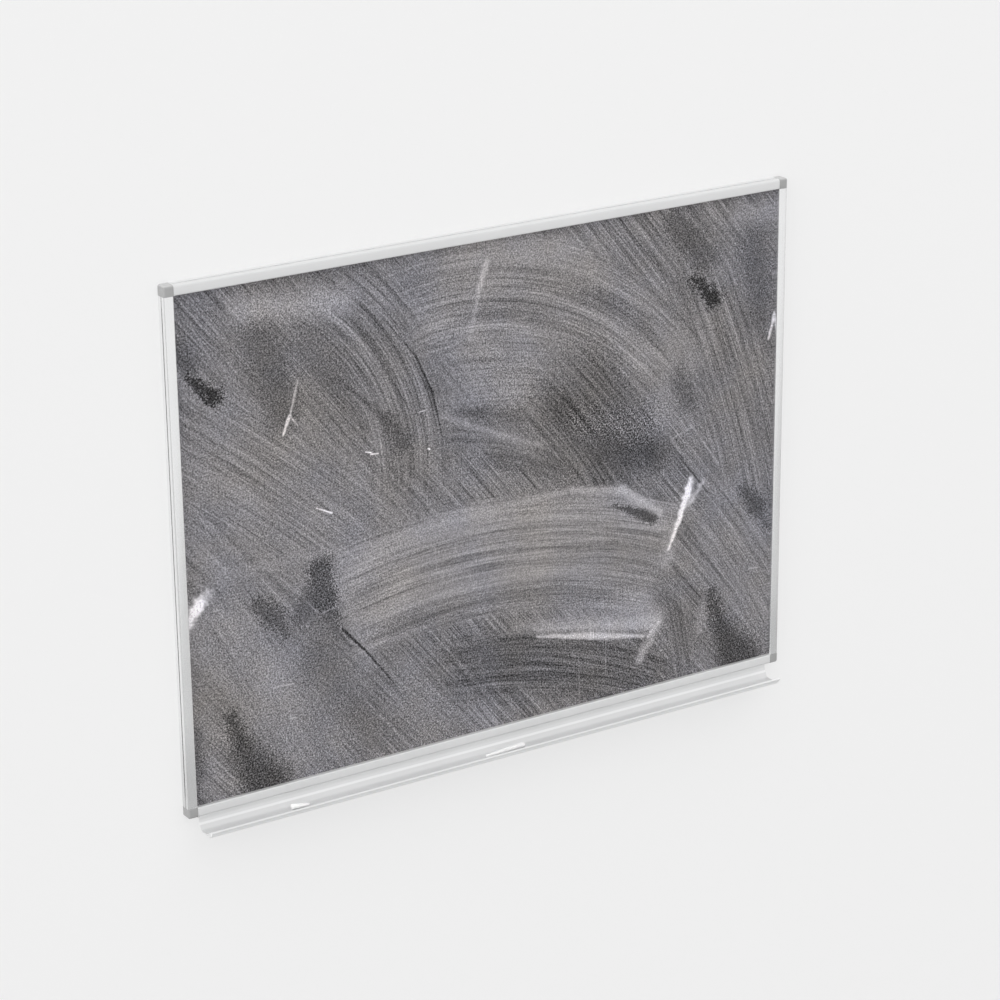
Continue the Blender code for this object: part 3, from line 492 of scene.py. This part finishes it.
def place_group(graph, tree, values):
    made = graph.node("ShaderNodeGroup", node_tree=tree)
    for name, value in values.items():
        graph.feed(made.inputs[name], value)
    return made.outputs["Tone"]


def arc_of(start, end, bulge):
    """The circle through two points whose arc bulges that far to the left of the way between them."""
    start, end = Vector(start), Vector(end)
    chord = end - start
    radius = chord.length_squared / (8 * bulge) + bulge / 2
    forward = chord.normalized()
    left = Vector((-forward.y, forward.x))
    centre = (start + end) / 2 - left * (radius - bulge)
    half_length = radius * math.asin(min(1.0, chord.length / 2 / radius))
    return centre, radius, left, forward, half_length


def wipe_values(entry, seed):
    start, end, bulge, half_width, side_soft, end_soft, film, contrast, cover, fineness = entry
    centre, radius, left, forward, half_length = arc_of(start, end, bulge)
    fine_depth = WIPE_FINE * contrast
    broad_depth = WIPE_BROAD * contrast
    return {
        "Centre": centre.to_3d(),
        "Outward": left.to_3d(),
        "Forward": forward.to_3d(),
        "Radius": radius,
        "Side Outer": half_width + side_soft,
        "Side Inner": half_width - side_soft,
        "End Outer": half_length + end_soft,
        "End Inner": half_length - end_soft,
        "Side Soft": side_soft,
        "End Soft": end_soft,
        "Cover": cover,
        "Fineness": fineness,
        "Seed": seed * PASS_STEP,
        "Low": film - (fine_depth + broad_depth) / 2,
        "Fine Depth": fine_depth,
        "Broad Depth": broad_depth,
    }


def mark_values(entry):
    start, end, start_radius, end_radius, soft, film, cover, rag = entry
    way = Vector(end) - Vector(start)
    return {
        "Start": Vector(start).to_3d(),
        "Along": way.normalized().to_3d(),
        "Length": way.length,
        "Taper": (start_radius - end_radius) / way.length,
        "Outer": start_radius + soft,
        "Inner": start_radius - soft,
        "Film": film,
        "Cover": cover,
        "Rag": rag,
    }


def slate():
    """Slate-grey writing paint under a film of wiped chalk."""
    material, graph, shader, place = new_material("chalked_slate", Roughness=0.82, Specular_IOR_Level=0.2)
    m = graph.math
    # the place on the sheet, in millimetres
    x, _, z = graph.parts(place)
    flat = graph.vector(m("DIVIDE", x, MM), m("DIVIDE", m("SUBTRACT", z, BOTTOM_EDGE), MM))
    ragged = graph.swing(flat, RAGGED_SCALE, detail=4.0, roughness=0.9, flat=True)
    ragged = m("MULTIPLY", ragged, RAGGED_SWING)
    wipe = wipe_group()
    mark = mark_group()
    layers = [(wipe, wipe_values(entry, seed)) for seed, entry in enumerate(WIPES)]
    layers += [(mark, mark_values(entry)) for entry in MARKS]
    tone = BARE_TONE
    for count, (tree, values) in enumerate(layers):
        if count % LAYERS_AT_ONCE == 0:
            # the same place again, but worked out after the tone below, so that few values are held at once
            spot = graph.vector_math("ADD", flat, m("MINIMUM", tone, 0.0))
        tone = place_group(graph, tree, {**values, "Tone": tone, "Place": spot, "Ragged": ragged})
    # chalk dust that clings to the paint's fine grain, in clouds
    spot = graph.vector_math("ADD", flat, m("MINIMUM", tone, 0.0))
    grain = GRAIN
    for entry in GRAINY:
        values = mark_values(entry)
        grain = place_group(graph, mark, {**values, "Tone": grain, "Place": spot, "Ragged": ragged})
    speckle = graph.swing(flat, GRAIN_SCALE, detail=1.0, roughness=0.9, flat=True)
    mottle = graph.swing(spot, MOTTLE_SCALE, detail=3.0, roughness=0.7, flat=True)
    clouds = graph.swing(spot, CLOUD_SCALE, detail=4.0, roughness=0.6, flat=True)
    # more contrast round the mean tone, then the dust, and the colour that the tones stand for
    tone = m("MULTIPLY_ADD", tone, FILM_CONTRAST, FILM_MEAN * (1 - FILM_CONTRAST))
    tone = m("MULTIPLY_ADD", speckle, grain, tone)
    tone = m("MULTIPLY_ADD", mottle, MOTTLE, tone)
    tone = m("MULTIPLY_ADD", clouds, CLOUDS, tone)
    level = m("POWER", m("DIVIDE", m("MAXIMUM", tone, DARKEST_TONE), WHITE_TONE), TONE_GAMMA)
    level = m("DIVIDE", level, TONE_LIGHT)
    tint = graph.swing(flat, TINT_SCALE, detail=3.0, roughness=0.6, flat=True)
    red = m("MULTIPLY", level, m("MULTIPLY_ADD", tint, RED_WANDERS, RED_SHARE))
    green = m("MULTIPLY", level, GREEN_SHARE)
    blue = m("MULTIPLY", level, m("MULTIPLY_ADD", tint, BLUE_WANDERS, BLUE_SHARE))
    graph.feed(shader.inputs["Base Color"], graph.colour(red, green, blue))
    graph.feed(shader.inputs["Normal"], graph.bump(speckle, strength=0.2, distance=0.2 * MM))
    return material


# The other finishes

# The aluminium: its tint, the scale of its draw lines and of its clouds, and how much they change its shade
ALUMINIUM_TINT = (0.997, 1.0, 1.003)
DRAW_ACROSS = 420.0
DRAW_LENGTHWISE = 3.0
DRAW_SHADE = 0.035
METAL_CLOUDS = 9.0
METAL_DARKER = 0.985
METAL_LIGHTER = 1.01
# a painted highlight along the tray's lip, and along the crease level with it in the trough's back: their
# # height, and how far from it the painted highlight starts and is full
HIGHLIGHT_HEIGHT = BOTTOM_EDGE - 10.0 * MM
HIGHLIGHT_OUTER = 2.6 * MM
HIGHLIGHT_INNER = 0.9 * MM
HIGHLIGHT_BRIGHT = 1.19
# the tray's nose, with a painted highlight that lightens its front
NOSE_BACK = CAD_BOX[0].y + 8.0 * MM
NOSE_FRONT = CAD_BOX[0].y + 5.0 * MM
NOSE_HIGHLIGHT = 1.2
# painted shade on the upright rails' lower ends, darker towards the bottom
PAINTED_SHADE_FULL = BOTTOM_EDGE + 50.0 * MM
PAINTED_SHADE_UP_TO = BOTTOM_EDGE + 190.0 * MM
PAINTED_SHADE_LEVEL = 0.82
# how far the sheen's direction leans out of the draw lines, so that the cut ends have one too
OFF_LINE = 0.03


def aluminium(name, along, level, metallic, smoothest, roughest, painted_highlights=False):
    """Satin anodised aluminium with fine draw lines along X or Z, whose sheen spreads across the lines.

    Metal that is drawn upright gets painted shade, darker near the bottom. Only the tray gets painted
    highlights.
    """
    material, graph, shader, place = new_material(
        name, Metallic=metallic, Anisotropic=0.9, Anisotropic_Rotation=0.25,
    )
    m = graph.math
    stretch = tuple(DRAW_LENGTHWISE if axis == along else DRAW_ACROSS for axis in "XYZ")
    lines = graph.noise(graph.vector_math("MULTIPLY", place, stretch), 1.0, detail=3.0, roughness=0.6)
    clouds = graph.noise(place, METAL_CLOUDS, detail=3.0)
    shade = m("MULTIPLY_ADD", m("SUBTRACT", lines, NOISE_MIDDLE), DRAW_SHADE, 1.0)
    shade = m("MULTIPLY", shade, graph.spread(clouds, METAL_DARKER, METAL_LIGHTER))
    _, y, z = graph.parts(place)
    # painted highlights: the lip and crease stripes and the nose are drawn brighter than the metal around
    # them
    if painted_highlights:
        off = m("ABSOLUTE", m("SUBTRACT", z, HIGHLIGHT_HEIGHT))
        crease = graph.remap(off, HIGHLIGHT_OUTER, HIGHLIGHT_INNER, 1.0, HIGHLIGHT_BRIGHT, smooth=True)
        nose = graph.remap(y, NOSE_BACK, NOSE_FRONT, 1.0, NOSE_HIGHLIGHT, smooth=True)
        shade = m("MULTIPLY", shade, m("MAXIMUM", crease, nose))
    # painted shade: upright metal is darkened towards the bottom
    if along == "Z":
        darkening = graph.remap(z, PAINTED_SHADE_FULL, PAINTED_SHADE_UP_TO, PAINTED_SHADE_LEVEL, 1.0, smooth=True)
        shade = m("MULTIPLY", shade, darkening)
    colour = graph.colour(*(m("MULTIPLY", shade, level * tint) for tint in ALUMINIUM_TINT))
    graph.feed(shader.inputs["Base Color"], colour)
    graph.feed(shader.inputs["Roughness"], graph.spread(lines, smoothest, roughest))
    graph.feed(shader.inputs["Normal"], graph.bump(lines, strength=0.05, distance=0.04 * MM))
    direction = graph.vector(*(1.0 if axis == along else OFF_LINE for axis in "XYZ"))
    graph.feed(shader.inputs["Tangent"], direction)
    return material


# The moulded plastic: the scale of its grain and of its clouds, its two tones, and how rough it is
PLASTIC_GRAIN = 2200.0
PLASTIC_CLOUDS = 60.0
PLASTIC_DARKER = grey(0.355)
PLASTIC_LIGHTER = grey(0.375)
PLASTIC_ROUGHNESS = (0.42, 0.54)
# its chalk dust, which also paints light onto the faces that look up: the tone, how much a face looks up
# where
# # the dust starts to lie and where it lies fully, and its thinnest full cover
DUST_AND_TOP_LIGHT = grey(0.47)
DUST_STARTS = 0.45
DUST_LIES = 0.9
DUST_THINNEST = 0.8


def plastic():
    """Grey moulded plastic with a fine satin grain, and chalk dust on what faces up, which also paints light
    on the tops.
    """
    material, graph, shader, place = new_material("moulded_grey", Specular_IOR_Level=0.5)
    grain = graph.noise(place, PLASTIC_GRAIN)
    clouds = graph.noise(place, PLASTIC_CLOUDS, detail=3.0)
    colour = graph.blend_colour(graph.spread(clouds), PLASTIC_DARKER, PLASTIC_LIGHTER)
    facing_up = graph.parts(graph.node("ShaderNodeTexCoord").outputs["Normal"])[2]
    thickness = graph.spread(clouds, DUST_THINNEST, 1.0)
    dust_and_light_share = graph.remap(facing_up, DUST_STARTS, DUST_LIES, 0.0, thickness, smooth=True)
    graph.feed(shader.inputs["Base Color"], graph.blend_colour(dust_and_light_share, colour, DUST_AND_TOP_LIGHT))
    graph.feed(shader.inputs["Roughness"], graph.spread(grain, *PLASTIC_ROUGHNESS))
    graph.feed(shader.inputs["Normal"], graph.bump(grain, strength=0.25, distance=0.06 * MM))
    return material


# The back sheet's zinc: the scale of its spangle, its two tones and how far the flakes use them, and its
# roughness
SPANGLE = 70.0
SPANGLE_DARKER = grey(0.50)
SPANGLE_LIGHTER = (0.62, 0.63, 0.645, 1.0)
SPANGLE_SHARE = (0.2, 0.8)
SPANGLE_ROUGHNESS = (0.38, 0.52)
# the dull clouds over it: their scale and tone, the noise where they start and are full, and their full cover
ZINC_CLOUDS = 8.0
DULL_ZINC = (0.52, 0.52, 0.51, 1.0)
DULL_STARTS = 0.4
DULL_FULLY = 0.75
DULL_COVER = 0.35


def galvanised():
    """Zinc-coated sheet with its spangle."""
    material, graph, shader, place = new_material("zinc_sheet", Metallic=1.0)
    flakes = graph.node("ShaderNodeSeparateColor")
    graph.feed(flakes.inputs[0], graph.cells(place, SPANGLE))
    tone, sheen, tilt = flakes.outputs
    clouds = graph.noise(place, ZINC_CLOUDS, detail=4.0)
    share = graph.remap(tone, 0.0, 1.0, *SPANGLE_SHARE)
    mixed = graph.blend_colour(share, SPANGLE_DARKER, SPANGLE_LIGHTER)
    darkening = graph.remap(clouds, DULL_STARTS, DULL_FULLY, 0.0, DULL_COVER)
    graph.feed(shader.inputs["Base Color"], graph.blend_colour(darkening, mixed, DULL_ZINC))
    graph.feed(shader.inputs["Roughness"], graph.remap(sheen, 0.0, 1.0, *SPANGLE_ROUGHNESS))
    graph.feed(shader.inputs["Normal"], graph.bump(tilt, strength=0.05, distance=0.1 * MM))
    return material


# The core's fibres: their scale and their two tones
FIBRES = 900.0
FIBRE_DARKER = (0.30, 0.205, 0.125, 1.0)
FIBRE_LIGHTER = (0.50, 0.37, 0.245, 1.0)


def fibreboard():
    """Pressed brown fibre."""
    material, graph, shader, place = new_material("pressed_fibre", Roughness=0.9, Specular_IOR_Level=0.2)
    fibres = graph.noise(place, FIBRES, detail=4.0, roughness=0.7, distortion=1.5)
    colour = graph.blend_colour(graph.spread(fibres), FIBRE_DARKER, FIBRE_LIGHTER)
    graph.feed(shader.inputs["Base Color"], colour)
    graph.feed(shader.inputs["Normal"], graph.bump(fibres, strength=0.4, distance=0.3 * MM))
    return material


# The screws' plating: the scale of its clouds, its roughness, and the two tones of each kind
PLATING_CLOUDS = 700.0
PLATING_ROUGHNESS = (0.26, 0.4)
BRIGHT_ZINC = ((0.60, 0.60, 0.57, 1.0), (0.72, 0.72, 0.70, 1.0))
# the lock screws' black plating, made this dark also as painted shade for the recess that they sit in
BLACK_ZINC_AND_SHADE = (grey(0.05), grey(0.09))


def zinc(name, duller, brighter):
    """Zinc plating on a small screw, between two tones."""
    material, graph, shader, place = new_material(name, Metallic=1.0)
    clouds = graph.noise(place, PLATING_CLOUDS, detail=3.0)
    colour = graph.blend_colour(graph.spread(clouds), duller, brighter)
    graph.feed(shader.inputs["Base Color"], colour)
    graph.feed(shader.inputs["Roughness"], graph.spread(clouds, *PLATING_ROUGHNESS))
    graph.feed(shader.inputs["Normal"], graph.bump(clouds, strength=0.1, distance=0.05 * MM))
    return material


# The chalk: the scale of its pores and of its scuffs, the scuffs' depth beside the pores', the noise at which
# it is darkest and lightest, its two tones, and how far light wanders in it
PORES = 1500.0
SCUFFS = 180.0
SCUFF_DEPTH = 0.5
CHALK_DARKEST_AT = 0.35
CHALK_LIGHTEST_AT = 0.7
CHALK_DARKER = grey(0.80)
CHALK_LIGHTER = (0.87, 0.87, 0.86, 1.0)
CHALK_GLOW_DEPTH = 12.0 * MM


def chalk():
    """Dry white chalk with pores and scuffs."""
    material, graph, shader, place = new_material(
        "white_stick", Roughness=0.95, Specular_IOR_Level=0.1, Subsurface_Weight=1.0,
        Subsurface_Radius=(1.0, 1.0, 1.0), Subsurface_Scale=CHALK_GLOW_DEPTH,
    )
    pores = graph.noise(place, PORES, detail=3.0, roughness=0.7)
    scuffs = graph.noise(place, SCUFFS, detail=4.0, roughness=0.6)
    lightness = graph.remap(scuffs, CHALK_DARKEST_AT, CHALK_LIGHTEST_AT)
    graph.feed(shader.inputs["Base Color"], graph.blend_colour(lightness, CHALK_DARKER, CHALK_LIGHTER))
    height = graph.math("MULTIPLY_ADD", scuffs, SCUFF_DEPTH, pores)
    graph.feed(shader.inputs["Normal"], graph.bump(height, strength=0.35, distance=0.2 * MM))
    return material


# Smooth shading: how near the points are that it welds, and the sharpest edge that it rounds over
WELD_DISTANCE = 0.002 * MM
SMOOTH_BELOW = math.radians(32)


def smooth_group():
    """Geometry nodes that weld a faceted mesh and shade it smooth, except over its sharp edges."""
    tree = bpy.data.node_groups.new("smooth_rounds", "GeometryNodeTree")
    tree.interface.new_socket("Geometry", in_out="INPUT", socket_type="NodeSocketGeometry")
    tree.interface.new_socket("Geometry", in_out="OUTPUT", socket_type="NodeSocketGeometry")
    nodes, link = tree.nodes, tree.links.new
    entered = nodes.new("NodeGroupInput")
    left = nodes.new("NodeGroupOutput")
    weld = nodes.new("GeometryNodeMergeByDistance")
    weld.inputs["Distance"].default_value = WELD_DISTANCE
    faces = nodes.new("GeometryNodeSetShadeSmooth")
    edges = nodes.new("GeometryNodeSetShadeSmooth")
    edges.domain = "EDGE"
    bend = nodes.new("GeometryNodeInputMeshEdgeAngle")
    compare = nodes.new("FunctionNodeCompare")
    compare.operation = "LESS_THAN"
    compare.inputs[1].default_value = SMOOTH_BELOW
    link(entered.outputs[0], weld.inputs["Geometry"])
    link(weld.outputs[0], faces.inputs["Geometry"])
    link(faces.outputs[0], edges.inputs["Geometry"])
    link(bend.outputs["Unsigned Angle"], compare.inputs[0])
    link(compare.outputs[0], edges.inputs["Shade Smooth"])
    link(edges.outputs[0], left.inputs[0])
    return tree


def dress_nodes():
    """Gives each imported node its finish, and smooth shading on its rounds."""
    # the same anodised aluminium in three copies, whose different colour levels paint in the light and shade
    # each gets
    along_x = aluminium("anodised_along_x", "X", level=0.86, metallic=0.72, smoothest=0.36, roughest=0.42)
    along_z = aluminium("anodised_along_z", "Z", level=0.925, metallic=0.92, smoothest=0.18, roughest=0.22)
    tray = aluminium(
        "anodised_tray", "X", level=0.79, metallic=0.72, smoothest=0.30, roughest=0.36, painted_highlights=True,
    )
    grey_parts = plastic()
    bright = zinc("bright_zinc", *BRIGHT_ZINC)
    black_and_shade = zinc("black_zinc_as_shade", *BLACK_ZINC_AND_SHADE)
    white = chalk()
    by_name = {
        "writing_sheet": (slate(), "slate_paint"),
        "core_board": (fibreboard(), "fibreboard"),
        "back_sheet": (galvanised(), "galvanised_steel"),
        "top_rail": (along_x, "anodised_aluminium"),
        "bottom_rail": (along_x, "anodised_aluminium"),
        "left_rail": (along_z, "anodised_aluminium"),
        "right_rail": (along_z, "anodised_aluminium"),
        "chalk_tray": (tray, "anodised_aluminium"),
    }
    # the first of these words that a name holds gives its finish
    by_word = {
        "lock_screw": (black_and_shade, "zinc_plated_steel"),
        "connector": (grey_parts, "grey_plastic"),
        "cap": (grey_parts, "grey_plastic"),
        "screw": (bright, "zinc_plated_steel"),
        "chalk": (white, "white_chalk"),
    }
    rounds = smooth_group()
    for name, node in NODES.items():
        fitting = [entry for word, entry in by_word.items() if word in name]
        material, slot = by_name.get(name) or fitting[0]
        node.data.materials.clear()
        node.data.materials.append(material)
        node.modifiers.new("smooth_rounds", "NODES").node_group = rounds


# The wall, the floor, the light and the camera

def eye_or_gloss(graph):
    """One where a ray comes from the camera or from something shiny or clear, and otherwise nought."""
    path = graph.node("ShaderNodeLightPath").outputs
    shiny = graph.math("MAXIMUM", path["Is Glossy Ray"], path["Is Transmission Ray"])
    return graph.math("MAXIMUM", path["Is Camera Ray"], shiny)


def stage_material(name, level, glow):
    """A plain pale finish that is clear from behind, so that the wall doesn't hide the board's back.

    The glow is the share of the plain background that the eye and shiny metal see in place of its shade.
    """
    material = bpy.data.materials.new(name)
    material.use_nodes = True
    graph = Graph(material.node_tree)
    material.node_tree.nodes.remove(material.node_tree.nodes["Principled BSDF"])
    output = material.node_tree.nodes["Material Output"]
    pale = graph.node("ShaderNodeBsdfDiffuse")
    pale.inputs["Color"].default_value = grey(level)
    plain = graph.node("ShaderNodeEmission")
    plain.inputs["Color"].default_value = grey(BACKGROUND)
    toned = graph.node("ShaderNodeMixShader")
    graph.feed(toned.inputs[0], graph.math("MULTIPLY", eye_or_gloss(graph), glow))
    graph.feed(toned.inputs[1], pale.outputs[0])
    graph.feed(toned.inputs[2], plain.outputs[0])
    clear = graph.node("ShaderNodeBsdfTransparent")
    mixed = graph.node("ShaderNodeMixShader")
    graph.feed(mixed.inputs[0], graph.node("ShaderNodeNewGeometry").outputs["Backfacing"])
    graph.feed(mixed.inputs[1], toned.outputs[0])
    graph.feed(mixed.inputs[2], clear.outputs[0])
    graph.feed(output.inputs["Surface"], mixed.outputs[0])
    return material


def add_stage(name, corners, faces, material):
    """A flat piece of the stage, which isn't part of the board."""
    mesh = bpy.data.meshes.new(name)
    mesh.from_pydata(corners, [], faces)
    mesh.materials.append(material)
    made = bpy.data.objects.new(name, mesh)
    bpy.context.scene.collection.objects.link(made)


def make_stage():
    """The wall that the board hangs on, open behind the board, and the floor below."""
    low, high = CAD_BOX
    floor = BOTTOM_EDGE - FLOOR_DROP
    inner = (low.x + HOLE_MARGIN, BOTTOM_EDGE + HOLE_MARGIN, high.x - HOLE_MARGIN, high.z - HOLE_MARGIN)
    outer = (-WALL_HALF_WIDTH, floor, WALL_HALF_WIDTH, WALL_TOP)
    corners = []
    for x0, z0, x1, z1 in (outer, inner):
        corners += [(x0, high.y, z0), (x1, high.y, z0), (x1, high.y, z1), (x0, high.y, z1)]
    ring = [(i, (i + 1) % 4, (i + 1) % 4 + 4, i + 4) for i in range(4)]
    add_stage("wall", corners, ring, stage_material("pale_wall", level=WALL_COLOUR, glow=WALL_GLOW))
    side, front = WALL_HALF_WIDTH, -FLOOR_REACH
    around = [(-side, high.y, floor), (-side, front, floor), (side, front, floor), (side, high.y, floor)]
    add_stage("floor", around, [(0, 1, 2, 3)], stage_material("pale_floor", level=FLOOR_COLOUR, glow=0.0))


def make_light():
    world = bpy.data.worlds.new("studio")
    world.use_nodes = True
    bpy.context.scene.world = world
    graph = Graph(world.node_tree)
    light = world.node_tree.nodes["Background"]
    light.inputs["Color"].default_value = grey(1.0)
    height = graph.parts(graph.node("ShaderNodeTexCoord").outputs["Generated"])[2]
    overhead = graph.remap(height, OVERHEAD_START, OVERHEAD_END, WORLD_LEVEL, OVERHEAD_LEVEL, smooth=True)
    low = graph.remap(height, LOW_START, LOW_END, LOW_LEVEL - WORLD_LEVEL, 0.0, smooth=True)
    graph.feed(light.inputs["Strength"], graph.math("ADD", overhead, low))
    shown = graph.node("ShaderNodeBackground")
    shown.inputs["Color"].default_value = grey(1.0)
    shown.inputs["Strength"].default_value = BACKGROUND
    mixed = graph.node("ShaderNodeMixShader")
    graph.feed(mixed.inputs[0], eye_or_gloss(graph))
    graph.feed(mixed.inputs[1], light.outputs[0])
    graph.feed(mixed.inputs[2], shown.outputs[0])
    graph.feed(world.node_tree.nodes["World Output"].inputs["Surface"], mixed.outputs[0])
    lamp = bpy.data.lights.new("soft_sun", "SUN")
    lamp.energy = SUN_STRENGTH
    lamp.angle = SUN_ANGLE
    sun = bpy.data.objects.new("soft_sun", lamp)
    sun.rotation_mode = "QUATERNION"
    sun.rotation_quaternion = SUN_TO_LIGHT.to_track_quat("Z", "Y")
    bpy.context.scene.collection.objects.link(sun)


def make_camera():
    data = bpy.data.cameras.new("photo_view")
    data.sensor_fit = "HORIZONTAL"
    data.sensor_width = SENSOR_WIDTH
    data.lens = FOCAL_PIXELS / PICTURE_SIZE * SENSOR_WIDTH
    data.shift_x = (PICTURE_SIZE / 2 - VIEW_CENTRE[0]) / PICTURE_SIZE
    data.shift_y = (VIEW_CENTRE[1] - PICTURE_SIZE / 2) / PICTURE_SIZE
    data.clip_start = NEAREST_SEEN
    data.clip_end = FARTHEST_SEEN
    camera = bpy.data.objects.new("photo_view", data)
    turned = Matrix((CAMERA_RIGHT, -CAMERA_DOWN, -CAMERA_FORWARD)).transposed().to_4x4()
    camera.matrix_world = Matrix.Translation(CAMERA_PLACE) @ turned
    bpy.context.scene.collection.objects.link(camera)
    bpy.context.scene.camera = camera


dress_nodes()
make_stage()
make_light()
make_camera()
bpy.context.scene.view_settings.view_transform = "Standard"
